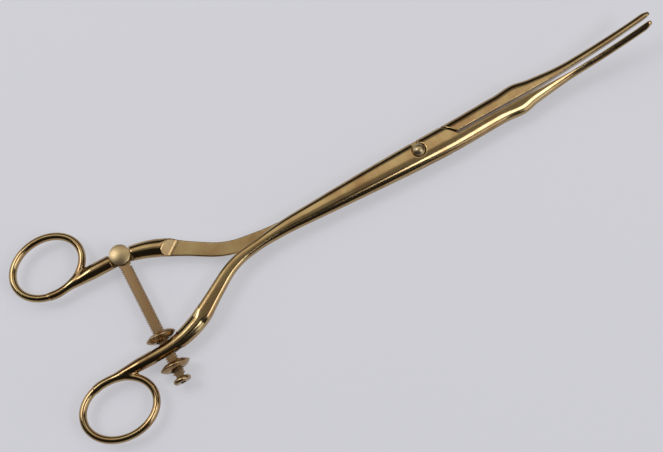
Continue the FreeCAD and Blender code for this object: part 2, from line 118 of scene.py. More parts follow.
# Cross bar, screw, nuts and button
BAR_RADIUS, BAR_HALF, THREAD_START, EYE_CLEARANCE = 2.5, 1.1, 5.5, 0.06
SLOT_HALF, SLOT_PLAY = 5.85, 0.25
BAR_EDGE, TURN_IN, TURN_IN_RUN, CORE_COVER, WELD = 0.16, 0.5, 0.6, 0.12, 0.002
TOOTH_INSET, TOOTH_LEVELS, EYE_POINTS = 0.04, 9, 48
PIN_RADIUS, PIN_BOTTOM, SEAT_PLAY = 1.4, 1.0, 0.2
SCREW_RADIUS, SCREW_RIM, SCREW_DOME = 4.2, 1.2, 0.8
PIN_ROUNDING, SCREW_ROUNDING = 0.15, (0.22, 0.45)
NUT_RADIUS, NUT_RIM, NUT_CENTRE, NUT_HUB, NUT_BELLY, NUT_FIT = 6.3, 1.1, 3.4, 0.6, 0.2, 0.06
NUT_ROUNDING = (0.12, 0.3)
INNER_GAP, OUTER_GAP = 0.9, 2.7
BUTTON_RADIUS, BUTTON_WIDTH, BUTTON_GAP, BUTTON_ROUND = 3.7, 2.0, 3.6, 0.7
BUTTON_EDGE, TENON_RADIUS, TENON_COVER, TENON_ROUNDING = 0.2, 0.9, 0.3, (0.12, 0.08)

# Half outline of a thread crest: place along the pitch, and height as a share of the depth
FLANK = ((-0.40, -0.28), (-0.40, 0.0), (-0.10, 0.93))
SHARP_ANGLE = 32.0

# How the arm's surface is followed
BLOCK, BLOCK_GROUP, BLOCK_REACH = 8, 256, 1.5
TABLE_STEP, FIELD_STEP = 0.1, 0.03
SETTLE_ROUNDS, LEAST_STEEP, TINY = 3, 0.05, 1e-9
MARGIN_CELLS, MILLED_NEAR, MILLED_DEEP = 3, 0.125, 0.25

# How corners and round heads are divided
ROUND_STEPS, LEAST_BEND, SIDE_SHARE = 5, 0.02, 0.48
HEAD_STEPS, SCREW_STEPS, FACE_STEPS, NOSE_STEPS = 20, 24, 12, 14

# Metals: scale of the polishing lines on each axis, roughness from and to, depth in millimetres
ARM_FINISH = (45.0, 1500.0, 1500.0), (0.10, 0.20), 0.006
STUD_FINISH = (900.0, 900.0, 900.0), (0.32, 0.42), 0.004
BAR_FINISH = (1300.0, 60.0, 1300.0), (0.32, 0.44), 0.010
NUT_FINISH = (700.0, 700.0, 700.0), (0.20, 0.34), 0.005
MILLED_ROUGHNESS, PIT_SHARE, BUMP_STRENGTH = 0.16, 0.35, 0.3
TARNISH_RANGE, WEAR_RANGE = (0.38, 0.68), (0.3, 0.7)

# Scale, detail and roughness of each noise
BLOTCHES, LINES, PITS = (95.0, 5.0, 0.62), (1.0, 3.0, 0.6), (1500.0, 2.0, 0.5)
MOTTLE = (6.0, 2.0, 0.5)

# Stage, in metres: the floor, and the centre and directions of the photographed view
FLOOR_REACH, FLOOR_ROUGHNESS, FLOOR_SHADE = 3.0, 0.7, 0.97
FLOOR_GLOW = (0.78, 0.785, 0.83)
VIEW_CENTRE = Vector((-0.0465, -0.0100, 0.004))
VIEW_UP, VIEW_RIGHT = Vector((0.485, 0.875, 0.0)), Vector((0.875, -0.485, 0.0))

# Panels: distance beyond the centre, height, and size
WARM_LIGHT, COOL_LIGHT = (1.0, 0.95, 0.86), (0.96, 0.98, 1.06)
OVERHEAD_PANEL, FAR_PANEL = (0.95, 1.3, (3.0, 2.2)), (0.72, 1.15, (2.4, 0.9))
PANEL_TURN, LEFT_AZIMUTH, RIGHT_AZIMUTH = -29.0, 165.0, -23.0

# Lamps and low panels: elevation and distance from the centre, and size
LAMP_PLACE, LAMP_SIZE = (54.0, 1.2), (0.46, 0.4)
LOW_PLACE, LOW_SIZE = (20.0, 1.3), (0.9, 0.7)

# Camera: place and aim in millimetres
CAMERA_PLACE, CAMERA_AIM = (-104.212, -114.111, 519.539), (-46.509, -10.012, 4.0)
CAMERA_LENS, SENSOR_WIDTH = 70.588, 36.0


def through(stations, x):
    """Values at the places x of a smooth line through (place, value) stations."""
    places, values = (np.array(column, float) for column in zip(*stations))
    slopes = np.diff(values) / np.diff(places)
    before, after = slopes[:-1], slopes[1:]
    same_way = before * after > 0
    total = np.where(same_way, before + after, 1.0)
    tangents = np.zeros(len(values))
    tangents[1:-1] = np.where(same_way, 2 * before * after / total, 0.0)
    x = np.clip(x, places[0], places[-1])
    i = np.clip(np.searchsorted(places, x, side="right") - 1, 0, len(slopes) - 1)
    span = places[i + 1] - places[i]
    t = (x - places[i]) / span
    start, end = tangents[i] * span, tangents[i + 1] * span
    return (
        values[i] * (1 + 2 * t) * (1 - t) ** 2
        + start * t * (1 - t) ** 2
        + values[i + 1] * t * t * (3 - 2 * t)
        + end * t * t * (t - 1)
    )


def arm_offset(x):
    """Distance of an arm's centre line from the instrument's axis, and its slope."""
    far = 10 * BOW
    corners = [
        (-far, HANDLE_SPREAD, 0.0),
        (-BEND, HANDLE_SPREAD, BEND_RADIUS),
        (-ELBOW, ELBOW_OFFSET, ELBOW_RADIUS),
        (-WAIST, 0.0, WAIST_RADIUS),
        (far, 0.0, 0.0),
    ]
    angles = [
        math.atan2(y1 - y0, x1 - x0) for (x0, y0, _), (x1, y1, _) in zip(corners, corners[1:])
    ]
    for i in range(1, len(corners) - 1):
        corner_x, corner_y, radius = corners[i]
        before, after = angles[i - 1], angles[i]
        reach = radius * math.tan(abs(after - before) / 2)
        start_x = corner_x - reach * math.cos(before)
        end_x = corner_x + reach * math.cos(after)
        if x < start_x:
            return corner_y + (x - corner_x) * math.tan(before), math.tan(before)
        if x <= end_x:
            hand = 1 if after > before else -1
            centre_x = start_x - hand * radius * math.sin(before)
            centre_y = corner_y - reach * math.sin(before) + hand * radius * math.cos(before)
            drop = math.sqrt(radius**2 - (x - centre_x) ** 2)
            return centre_y - hand * drop, hand * (x - centre_x) / drop
    return 0.0, 0.0


def bow_place(side, angle):
    """Centre line of a finger bow at an angle in degrees, in the plan."""
    length, width, rise, tilt = BOWS[side]
    turn, at = math.radians(tilt), math.radians(angle)
    along, out = length / 2 * math.cos(at), width / 2 * math.sin(at)
    x = -BOW + along * math.cos(turn) - out * math.sin(turn)
    y = along * math.sin(turn) + out * math.cos(turn)
    return x, HANDLE_SPREAD + rise + y


def arm_table(side):
    """Sizes and places of one arm's section, tabulated along the instrument."""
    x = np.arange(-BOW - BOWS[side][0], TIP_REACH[side] + 2 * TIP_ROUNDING, TABLE_STEP)
    middle = (ELBOW + SWELL) / 2
    before_waist = (WAIST + ELBOW) / 2
    longest = max(TIP_REACH.values())
    width = [
        (-CROTCH, NECK_WIDTH[side]),
        (-SLOT, SEAT_WIDTH),
        (-SWELL, SWELL_WIDTH),
        (-middle, DIAGONAL_WIDTH),
        (-before_waist, ELBOW_WIDTH[side]),
        (-WAIST, WAIST_WIDTH),
        (0.0, PIVOT_WIDTH),
        (SHOULDER_OUTER, JAW_WIDTH),
        (BUMP_START, JAW_WIDTH),
        (BUMP, BUMP_WIDTH),
        (BUMP_END, BUMP_END_WIDTH),
        (BLADE_START, BLADE_WIDTH),
        (longest, TIP_WIDTH),
    ]
    height = [
        (-CROTCH, ROD_HEIGHT),
        (-SLOT, ROD_HEIGHT),
        (-SWELL, SWELL_HEIGHT),
        (-WAIST, WAIST_HEIGHT),
        (0.0, PIVOT_HEIGHT),
        (BUMP, BUMP_HEIGHT),
        (BLADE_START, BLADE_HEIGHT),
        (longest, TIP_HEIGHT),
    ]
    squareness = [
        (-SWELL, ROUND),
        (-SWELL + SWELL_EDGE, SQUARE),
        (-ELBOW, SQUARE),
        (-WAIST, SHANK_SQUARE),
        (BUMP, SHANK_SQUARE),
        (BLADE_START, ROUND),
    ]
    shift = [(SHOULDER_OUTER, 0.0), (BUMP, FRONT_SHIFT), (BLADE_START, FRONT_SHIFT), (longest, 0.0)]
    sweep = np.maximum(0.0, x - SWEEP_START) / (TIP_REACH[-1] - SWEEP_START)
    rise = np.maximum(0.0, x - RISE_START) / (TIP_REACH[-1] - RISE_START)
    lean = through([(SHOULDER_OUTER, 0.0), (BUMP_START, JAW_LEAN)], x)
    parting = AXIS_OFFSET + lean + BLADE_SWEEP * sweep**2
    offset = np.array([arm_offset(place)[0] for place in x])
    centre = np.where(x < SHOULDER_OUTER, AXIS_OFFSET + side * offset, parting + through(shift, x))
    nose = np.clip((x - TIP_REACH[side]) / (TIP_HEIGHT / 2) + 1, 0.0, 1.0)
    table = {
        "x": x,
        "centre": centre,
        "lift": LAP_HEIGHT + BLADE_RISE * rise**2,
        "width": through(width, x),
        "height": through(height, x) * np.sqrt(1 - (1 - (TIP_EDGE / TIP_HEIGHT) ** 2) * nose**2),
        "squareness": through(squareness, x),
        "parting": parting,
        "gap": through([(SHOULDER_INNER, JAW_GAP), (BUMP, BUMP_GAP), (GAP_START, BLADE_GAP)], x),
    }
    inner = HANDLE_SPREAD - NECK_WIDTH[side] / 2
    tail = []
    for angle in TAIL_ANGLES:
        place, out = bow_place(side, -angle)
        tail.append((place, out, BOW_BAR[0] * TAIL_SHARE, BOW_BAR[1] * TAIL_SHARE))
    root = tail[-1][0]
    edge = tail[-1][1] - BOW_BAR[0] * TAIL_SHARE / 2
    for share in TAIL_STATIONS:
        wide = BOW_BAR[0] + share * (NECK_WIDTH[side] - BOW_BAR[0])
        high = BOW_BAR[1] + share * (ROD_HEIGHT - BOW_BAR[1])
        low = edge + share * (inner - edge)
        tail.append((root + share * (-CROTCH - root), low + wide / 2, wide, high))
    in_tail = x < -CROTCH
    places = [place for place, _, _, _ in tail]
    for name, column in (("centre", 1), ("width", 2), ("height", 3)):
        values = [row[column] for row in tail]
        if name == "centre":
            values = [AXIS_OFFSET + side * value for value in values]
        bent = through(list(zip(places, values)), x)
        table[name] = np.where(in_tail, bent, table[name])
    table["slope"] = np.gradient(table["centre"], x)
    table["tail_end"] = places[0]
    return table


def smooth_max(a, b, blend):
    """Larger of two fields, with the corner between them rounded."""
    overlap = np.maximum(blend - np.abs(a - b), 0.0)
    return np.maximum(a, b) + overlap * overlap / (4 * blend)


def smooth_min(a, b, blend):
    """Smaller of two fields, with the corner between them filled."""
    return -smooth_max(-a, -b, blend)


def oval_field(across, up, half_width, half_height, squareness):
    """Rough distance from the surface of a bar of oval section."""
    s, t = np.abs(across) / half_width, np.abs(up) / half_height
    r = np.maximum((s**squareness + t**squareness) ** (1 / squareness), 1e-6)
    steep = squareness - 1
    grade = np.hypot((s / r) ** steep / half_width, (t / r) ** steep / half_height)
    return (r - 1) / grade


def bow_field(p, side):
    """Rough distance from the surface of a finger bow."""
    length, width, rise, tilt = BOWS[side]
    turn = math.radians(tilt)
    dx = p[:, 0] + BOW
    dy = side * (p[:, 1] - AXIS_OFFSET) - HANDLE_SPREAD - rise
    px = np.abs(dx * math.cos(turn) + dy * math.sin(turn))
    py = np.abs(dy * math.cos(turn) - dx * math.sin(turn))
    a, b = length / 2, width / 2
    tx = np.full(len(px), math.sqrt(0.5))
    ty = tx.copy()
    for _ in range(4):
        ex, ey = (a * a - b * b) * tx**3 / a, (b * b - a * a) * ty**3 / b
        rx, ry = a * tx - ex, b * ty - ey
        qx, qy = px - ex, py - ey
        scale = np.hypot(rx, ry) / np.maximum(np.hypot(qx, qy), TINY)
        tx = np.clip((qx * scale + ex) / a, 0.0, 1.0)
        ty = np.clip((qy * scale + ey) / b, 0.0, 1.0)
        size = np.maximum(np.hypot(tx, ty), TINY)
        tx, ty = tx / size, ty / size
    away = np.hypot(px - a * tx, py - b * ty)
    return oval_field(away, p[:, 2] - LAP_HEIGHT, BOW_BAR[0] / 2, BOW_BAR[1] / 2, ROUND)


def bar_axes():
    """Place of the bar's screw, directions across and down the bar, and distance to the slot."""
    screw = np.array([-SCREW, AXIS_OFFSET + arm_offset(-SCREW)[0] + SCREW_OFFSET])
    slot = np.array([-SLOT, AXIS_OFFSET - arm_offset(-SLOT)[0]])
    way = (slot - screw) / np.linalg.norm(slot - screw)
    return screw, np.array([way[1], -way[0]]), way, np.linalg.norm(slot - screw)


def step_profile(u):
    """Height of the lapped half's face over the lap plane along the step, and its slope."""
    ramp = math.atan2(SWELL_HEIGHT / 2, STEP_RUN)
    reach = STEP_FILLET * math.tan(ramp / 2)
    foot = STEP_RUN + reach
    start = STEP_RUN - reach * math.cos(ramp)
    across = np.clip(u - foot, -STEP_FILLET * math.sin(ramp), 0.0)
    drop = np.sqrt(STEP_FILLET**2 - across**2)
    rounded = STEP_FILLET - drop
    straight = reach * math.sin(ramp) + (start - u) * math.tan(ramp)
    height = np.where(u < start, straight, rounded) - LAP_GAP
    slope = np.where(u < start, -math.tan(ramp), across / drop)
    return height, slope


def arm_fields(side, edge, fillet):
    """Field of one arm, negative inside it, and the field of its milled faces alone."""
    table = arm_table(side)
    screw, across_bar, down_bar, to_slot = bar_axes()
    offset, slope_there = arm_offset(-STEP)
    step_turn = math.atan(slope_there) - math.radians(STEP_SKEW)
    step_y = AXIS_OFFSET + side * offset
    slant = SHOULDER_INNER - SHOULDER_OUTER
    half = JAW_WIDTH / 2
    size = math.hypot(slant, half)

    def look(name, x):
        return np.interp(x, table["x"], table[name])

    def lapped(p):
        x, y, z = p.T
        u = (x + STEP) * math.cos(step_turn) + side * (y - step_y) * math.sin(step_turn)
        height, slope = step_profile(u)
        return (side * (z - LAP_HEIGHT) - height) / np.sqrt(1 + slope**2)

    def own_jaw(p):
        x, y, _ = p.T
        return look("gap", x) / 2 - side * (y - look("parting", x))

    def milled(p):
        x, y, z = p.T
        from_axis = side * (y - AXIS_OFFSET)
        lap = lapped(p)
        inside_shoulder = (
            (x - SHOULDER_INNER + SHOULDER_CLEARANCE) * half - from_axis * slant
        ) / size
        beyond_relief = -((x - SHOULDER_INNER) * half + from_axis * slant) / size
        half_lap = smooth_max(lap, inside_shoulder, edge)
        jaw = smooth_max(own_jaw(p), np.minimum(lap, beyond_relief), edge)
        shape = np.minimum(half_lap, jaw)
        down = (x - screw[0]) * down_bar[0] + (y - screw[1]) * down_bar[1]
        aside = np.abs((x - screw[0]) * across_bar[0] + (y - screw[1]) * across_bar[1])
        if side > 0:
            seat = np.maximum(aside - SCREW_RADIUS - SEAT_PLAY, LAP_HEIGHT - BAR_HALF - z)
            near = np.abs(down) - 2 * SWELL_WIDTH
            return smooth_max(shape, -np.maximum(seat, near), edge / 2)
        slot = np.maximum(aside - SLOT_HALF, np.abs(z - LAP_HEIGHT) - BAR_HALF - SLOT_PLAY)
        slot = np.maximum(slot, np.abs(down - to_slot) - 2 * SWELL_WIDTH)
        out = np.hypot(x, y)
        head = np.maximum(out - HEAD_RADIUS - HEAD_PLAY, PIVOT_HEIGHT - HEAD_SEAT - z)
        neck = out - NECK_RADIUS - STUD_FIT
        notch = np.maximum(np.maximum(np.abs(x) - NOTCH_HALF, -y), LAP_HEIGHT - z)
        holes = np.minimum(np.minimum(slot, head), np.minimum(neck, notch))
        return smooth_max(shape, -holes, edge / 2)

    def body(p):
        x, y, z = p.T
        foot = x
        for _ in range(3):
            slope = look("slope", foot)
            miss = y - look("centre", foot)
            foot = foot + ((x - foot) + slope * miss) / (1 + slope**2)
            foot = np.clip(foot, x - 2 * SWELL_WIDTH, x + 2 * SWELL_WIDTH)
        slope = look("slope", foot)
        across = (y - look("centre", foot) - slope * (x - foot)) / np.sqrt(1 + slope**2)
        bar = oval_field(
            across,
            z - look("lift", x),
            look("width", foot) / 2,
            look("height", foot) / 2,
            look("squareness", foot),
        )
        nose = TIP_ROUNDING / 2
        ahead = x - TIP_REACH[side] + nose
        end = np.hypot(np.maximum(ahead, 0.0), -own_jaw(p) - nose) - nose
        end = end - np.maximum(-ahead, 0.0) / 2
        bar = smooth_max(bar, end, 2 * edge)
        return np.maximum(bar, table["tail_end"] - x)

    def whole(p):
        shank = smooth_max(body(p), milled(p), edge)
        return smooth_min(shank, bow_field(p, side), fillet)

    return whole, milled, body


def gradient(field, p):
    """Slope of a field at some points."""
    columns = []
    for axis in range(3):
        step = np.zeros(3)
        step[axis] = FIELD_STEP
        columns.append((field(p + step) - field(p - step)) / (2 * FIELD_STEP))
    return np.stack(columns, axis=1)


def lattice(field, low, high, cell):
    """Values of a field on a grid: exact near its surface, and only signs far from it."""
    block = cell * BLOCK
    counts = np.ceil((high - low) / block).astype(int)
    corners = np.stack(np.meshgrid(*[np.arange(n) for n in counts], indexing="ij"), axis=-1)
    corners = corners.reshape(-1, 3)
    rough = field(low + (corners + 0.5) * block)
    near = np.abs(rough) < block * math.sqrt(3) / 2 * BLOCK_REACH
    values = np.sign(rough).reshape(counts).astype(np.float32)
    for axis in range(3):
        values = np.repeat(values, BLOCK, axis=axis)
    values = np.pad(values, [(0, 1)] * 3, mode="edge")
    steps = np.arange(BLOCK + 1)
    local = np.stack(np.meshgrid(steps, steps, steps, indexing="ij"), axis=-1).reshape(-1, 3)
    starts = corners[near] * BLOCK
    for first in range(0, len(starts), BLOCK_GROUP):
        some = starts[first : first + BLOCK_GROUP]
        places = (some[:, None, :] + local[None, :, :]).reshape(-1, 3)
        found = field(low + places * cell).reshape(-1, BLOCK + 1, BLOCK + 1, BLOCK + 1)
        for (i, j, k), part in zip(some, found):
            values[i : i + BLOCK + 1, j : j + BLOCK + 1, k : k + BLOCK + 1] = part
    return values


def net(values, low, cell):
    """Closed quad net through the cells where a lattice changes sign."""
    inside = values < 0
    shape = np.array(values.shape)
    places, quads = [], []
    for axis in range(3):
        lower = [slice(None)] * 3
        upper = [slice(None)] * 3
        lower[axis], upper[axis] = slice(None, -1), slice(1, None)
        starts_in = inside[tuple(lower)]
        index = np.argwhere(starts_in != inside[tuple(upper)])
        ahead = np.zeros(3, int)
        ahead[axis] = 1
        first = values[tuple(index.T)]
        second = values[tuple((index + ahead).T)]
        share = first / (first - second)
        place = index.astype(float)
        place[:, axis] += share
        across, up = (axis + 1) % 3, (axis + 2) % 3
        ring = []
        for step_across, step_up in ((-1, -1), (0, -1), (0, 0), (-1, 0)):
            around = index.copy()
            around[:, across] += step_across
            around[:, up] += step_up
            ring.append((around[:, 0] * shape[1] + around[:, 1]) * shape[2] + around[:, 2])
        ring = np.stack(ring, axis=1)
        outward = starts_in[tuple(index.T)]
        ring[~outward] = ring[~outward][:, ::-1]
        places.append(place)
        quads.append(ring)
    places, quads = np.concatenate(places), np.concatenate(quads)
    cells, compact = np.unique(quads.ravel(), return_inverse=True)
    compact = compact.reshape(-1)
    number = np.bincount(compact, minlength=len(cells))
    repeated = np.repeat(places, 4, axis=0)
    points = np.stack(
        [np.bincount(compact, weights=repeated[:, axis]) / number for axis in range(3)], axis=1
    )
    return low + points * cell, compact.reshape(-1, 4)


def settle(field, points, quads, cell):
    """Move a net's points onto the surface and even them out along it."""
    edges = np.concatenate([quads[:, [i, (i + 1) % 4]] for i in range(4)])
    ends, others = edges[:, 0], edges[:, 1]
    number = np.maximum(np.bincount(ends, minlength=len(points)), 1)

    def onto(p):
        slope = gradient(field, p)
        steep = np.maximum((slope * slope).sum(axis=1), LEAST_STEEP)
        move = slope * (field(p) / steep)[:, None]
        length = np.maximum(np.linalg.norm(move, axis=1), TINY)
        return p - move * np.minimum(1.0, cell / 2 / length)[:, None], slope

    points, slope = onto(points)
    for _ in range(SETTLE_ROUNDS):
        mean = np.stack(
            [
                np.bincount(ends, weights=points[others, axis], minlength=len(points)) / number
                for axis in range(3)
            ],
            axis=1,
        )
        normal = slope / np.maximum(np.linalg.norm(slope, axis=1), TINY)[:, None]
        move = mean - points
        move -= normal * (move * normal).sum(axis=1)[:, None]
        points, slope = onto(points + move / 2)
    points, _ = onto(points)
    slope = gradient(field, points)
    return points, slope / np.maximum(np.linalg.norm(slope, axis=1), TINY)[:, None]


def mesh_object(name, points, faces, normals=None, material=None):
    """New object from points in metres, with its surface normals where they are given."""
    mesh = bpy.data.meshes.new(name)
    mesh.from_pydata(points.tolist(), [], [list(face) for face in faces])
    mesh.validate()
    mesh.polygons.foreach_set("use_smooth", [True] * len(mesh.polygons))
    if normals is not None:
        mesh.normals_split_custom_set_from_vertices(normals.tolist())
    if material is not None:
        mesh.materials.append(material)
    mesh.update()
    made = bpy.data.objects.new(name, mesh)
    bpy.context.scene.collection.objects.link(made)
    return made


def softened(corners, radii, closed=False):
    """Points and normals of a half profile whose corners are rounded."""
    corners = [np.array(corner, float) for corner in corners]
    count = len(corners)
    points, normals = [], []

    def side_normal(a, b):
        way = (b - a) / np.linalg.norm(b - a)
        return np.array([way[1], -way[0]])

    for i, corner in enumerate(corners):
        before = corners[i - 1] if i or closed else None
        after = corners[(i + 1) % count] if i < count - 1 or closed else None
        if before is None or after is None:
            points.append(corner)
            pair = (corner, after) if before is None else (before, corner)
            normals.append(side_normal(*pair))
            continue
        first, second = side_normal(before, corner), side_normal(corner, after)
        bend = math.acos(max(-1.0, min(1.0, float(first @ second))))
        radius = radii[i]
        if radius <= 0 or bend < LEAST_BEND:
            both = first + second
            points.append(corner)
            normals.append(both / np.linalg.norm(both))
            continue
        back, ahead = before - corner, after - corner
        room = min(np.linalg.norm(back), np.linalg.norm(ahead)) * SIDE_SHARE
        reach = min(radius * math.tan(bend / 2), room)
        radius = reach / math.tan(bend / 2)
        convex = (corner - before) @ second < 0
        sign = 1.0 if convex else -1.0
        start = corner + back / np.linalg.norm(back) * reach
        centre = start - sign * first * radius
        for step in range(ROUND_STEPS + 1):
            share = step / ROUND_STEPS
            both = (
                math.sin((1 - share) * bend) * first + math.sin(share * bend) * second
            ) / math.sin(bend)
            points.append(centre + sign * both * radius)
            normals.append(both)
    return np.array(points), np.array(normals)


def arc(start, middle, end, count):
    """Points of the circular arc through three points, without its two ends."""
    (ax, ay), (bx, by), (cx, cy) = start, middle, end
    d = 2 * (ax * (by - cy) + bx * (cy - ay) + cx * (ay - by))
    a2, b2, c2 = ax * ax + ay * ay, bx * bx + by * by, cx * cx + cy * cy
    ux = (a2 * (by - cy) + b2 * (cy - ay) + c2 * (ay - by)) / d
    uy = (a2 * (cx - bx) + b2 * (ax - cx) + c2 * (bx - ax)) / d
    first = math.atan2(ay - uy, ax - ux)
    mid = (math.atan2(by - uy, bx - ux) - first) % (2 * math.pi)
    sweep = (math.atan2(cy - uy, cx - ux) - first) % (2 * math.pi)
    if mid > sweep:
        sweep -= 2 * math.pi
    radius = math.hypot(ax - ux, ay - uy)
    found = []
    for i in range(1, count):
        angle = first + sweep * i / count
        found.append((ux + radius * math.cos(angle), uy + radius * math.sin(angle)))
    return found


def turned(profile, normals, place, segments, closed=False):
    """Points, faces and normals of a form turned about the Z axis and then placed."""
    angles = 2 * math.pi * np.arange(segments) / segments
    points, outs, rings, faces = [], [], [], []
    for (radius, height), (out, up) in zip(profile, normals):
        if radius < 1e-6:
            rings.append([len(points)])
            points.append((0.0, 0.0, height))
            outs.append((0.0, 0.0, 1.0 if up > 0 else -1.0))
            continue
        rings.append(list(range(len(points), len(points) + segments)))
        for angle in angles:
            points.append((radius * math.cos(angle), radius * math.sin(angle), height))
            outs.append((out * math.cos(angle), out * math.sin(angle), up))
    pairs = list(zip(rings, rings[1:])) + ([(rings[-1], rings[0])] if closed else [])
    for low, high in pairs:
        for i in range(segments):
            j = (i + 1) % segments
            if len(low) == 1:
                faces.append((low[0], high[j], high[i]))
            elif len(high) == 1:
                faces.append((low[i], low[j], high[0]))
            else:
                faces.append((low[i], low[j], high[j], high[i]))
    points = np.array(points) @ np.array(place.to_3x3()).T + np.array(place.translation)
    outs = np.array(outs) @ np.array(place.to_3x3()).T
    return points * MM, faces, outs


def domed(radius, seat, rim, rise, count):
    """Half profile of a round head: edge of its seat, rim, dome and crown."""
    crown = seat + rim + rise
    sphere = (radius**2 + rise**2) / (2 * rise)
    half = math.asin(radius / sphere) / 2
    middle = (sphere * math.sin(half), crown - sphere * (1 - math.cos(half)))
    start = (radius, seat + rim)
    return [(radius, seat), start, *arc(start, middle, (0.0, crown), count), (0.0, crown)]


def on_bar(distance):
    """Place on the bar, with Z down its length, at a distance from its screw."""
    screw, across, way, _ = bar_axes()
    centre = screw + way * distance
    return Matrix(
        (
            (across[0], 0.0, way[0], centre[0]),
            (across[1], 0.0, way[1], centre[1]),
            (0.0, -1.0, 0.0, LAP_HEIGHT),
            (0.0, 0.0, 0.0, 1.0),
        )
    )


def nut_places():
    """Distances from the bar's screw to both nuts' middles and to the button."""
    to_slot = bar_axes()[3]
    half = (SEAT_WIDTH + NUT_CENTRE) / 2
    outer = to_slot + half + OUTER_GAP
    return to_slot - half - INNER_GAP, outer, outer + NUT_CENTRE / 2 + BUTTON_GAP


def node(tree, kind, inputs=None, **settings):
    """New node with its settings, and with inputs that hold a value or are linked to a socket."""
    made = tree.nodes.new(kind)
    for name, value in settings.items():
        setattr(made, name, value)
    for name, value in (inputs or {}).items():
        if isinstance(value, bpy.types.NodeSocket):
            tree.links.new(value, made.inputs[name])
        else:
            made.inputs[name].default_value = value
    return made


def reckoned(tree, operation, *values):
    """Result of a sum on values and sockets."""
    return node(tree, "ShaderNodeMath", dict(enumerate(values)), operation=operation).outputs[0]


def noise(tree, places, scale, detail, roughness):
    """Noise at some places."""
    inputs = {"Vector": places, "Scale": scale, "Detail": detail, "Roughness": roughness}
    return node(tree, "ShaderNodeTexNoise", inputs).outputs["Fac"]


def ranged(tree, value, from_range, to_range=(0.0, 1.0)):
    """Value carried over from one range to another."""
    inputs = {"Value": value, "From Min": from_range[0], "From Max": from_range[1]}
    inputs |= {"To Min": to_range[0], "To Max": to_range[1]}
    return node(tree, "ShaderNodeMapRange", inputs).outputs["Result"]


def tinted(tree, share, first, second):
    """Colour between two colours."""
    inputs = {0: share, 6: (*first, 1.0), 7: (*second, 1.0)}
    return node(tree, "ShaderNodeMix", inputs, data_type="RGBA").outputs[2]


def metal(name, colour, tarnish, grain, roughness, depth, milled_roughness=None):
    """Worn yellow metal: blotches of tarnish, fine polishing lines and small pits."""
    material = bpy.data.materials.new(name)
    material.use_nodes = True
    tree = material.node_tree
    tree.nodes.clear()
    places = node(tree, "ShaderNodeTexCoord").outputs["Object"]
    stretched = node(tree, "ShaderNodeMapping", {"Vector": places, "Scale": grain})
    blotches = noise(tree, places, *BLOTCHES)
    lines = noise(tree, stretched.outputs["Vector"], *LINES)
    pits = noise(tree, places, *PITS)

    wear = reckoned(tree, "MULTIPLY", reckoned(tree, "ADD", blotches, lines), 0.5)
    dull = ranged(tree, wear, WEAR_RANGE, roughness)
    if milled_roughness is not None:
        flats = node(tree, "ShaderNodeAttribute", attribute_name="milled").outputs["Fac"]
        dull = reckoned(tree, "ADD", dull, reckoned(tree, "MULTIPLY", flats, milled_roughness))
    relief = reckoned(tree, "ADD", lines, reckoned(tree, "MULTIPLY", pits, PIT_SHARE))
    inputs = {"Height": relief, "Strength": BUMP_STRENGTH, "Distance": depth * MM}
    inputs = {
        "Metallic": 1.0,
        "Base Color": tinted(tree, ranged(tree, blotches, TARNISH_RANGE), colour, tarnish),
        "Roughness": dull,
        "Normal": node(tree, "ShaderNodeBump", inputs).outputs["Normal"],
    }
    shader = node(tree, "ShaderNodeBsdfPrincipled", inputs)
    node(tree, "ShaderNodeOutputMaterial", {"Surface": shader.outputs["BSDF"]})
    return material


def amount(name, description, default, least=0.0, **more):
    """Setting that holds a number with a least value."""
    return FloatProperty(name=name, description=description, default=default, min=least, **more)


def tone(name, description, default):
    """Setting that holds a colour."""
    return FloatVectorProperty(
        name=name, description=description, subtype="COLOR", default=default, min=0.0, max=1.0
    )


class DilatorForging(bpy.types.PropertyGroup):
    """Sizes of the forged and polished forms, in millimetres."""

    worn_edge: amount("Worn edge", "How far polishing has rounded the milled edges", 0.45, 0.1)
    crotch_fillet: amount("Bow fillet", "How far the bows' corners are filled", 1.2, 0.2)
    cell: amount("Surface cell", "Size of the cells that follow the arms' surface", 0.36, 0.25)
    segments: IntProperty(
        name="Turned segments",
        description="Number of segments around a turned piece",
        default=112,
        min=24,
    )


class DilatorThread(bpy.types.PropertyGroup):
    """Sizes of the screw-cut edges of the cross bar."""

    pitch: amount("Pitch", "Distance between thread crests", 1.0 * MM, unit="LENGTH")
    depth: amount("Depth", "Depth of the thread in the bar's edges", 0.62 * MM, unit="LENGTH")
    lead: amount("Lead", "Slant across the bar's edge", math.radians(3.6), subtype="ANGLE")


class DilatorMetals(bpy.types.PropertyGroup):
    """Colours of the yellow metals."""

    arms: tone("Arms", "Colour of the polished arms", (0.46, 0.335, 0.16))
    studs: tone("Studs", "Colour of the pivot stud and the bar's screw", (0.51, 0.40, 0.24))
    bar: tone("Bar", "Colour of the cross bar", (0.33, 0.22, 0.115))
    nuts: tone("Nuts", "Colour of the round nuts and the end button", (0.42, 0.285, 0.14))
    tarnish: tone("Tarnish", "Colour that the metals darken to", (0.33, 0.20, 0.09))


class DilatorStage(bpy.types.PropertyGroup):
    """Floor and light."""

    floor: tone("Floor", "Colour of the floor", (0.72, 0.72, 0.77))
    surroundings: tone("Surroundings", "Light from the room around", (0.02, 0.02, 0.022))
    overhead: amount("Overhead panel", "Brightness of the wide panel overhead", 0.26)
    left_lamp: amount("Left lamp", "Brightness of the lamp on the handles' side", 5.0)
    right_lamp: amount("Right lamp", "Brightness of the lamp on the blades' side", 4.6)
    low_panels: amount("Low panels", "Brightness of the low panels under both lamps", 1.3)
    glow: amount("Floor glow", "Share of its own pale colour that the floor shows", 0.5, max=1.0)
    far_panel: amount("Far panel", "Brightness of the high panel beyond the instrument", 0.72)


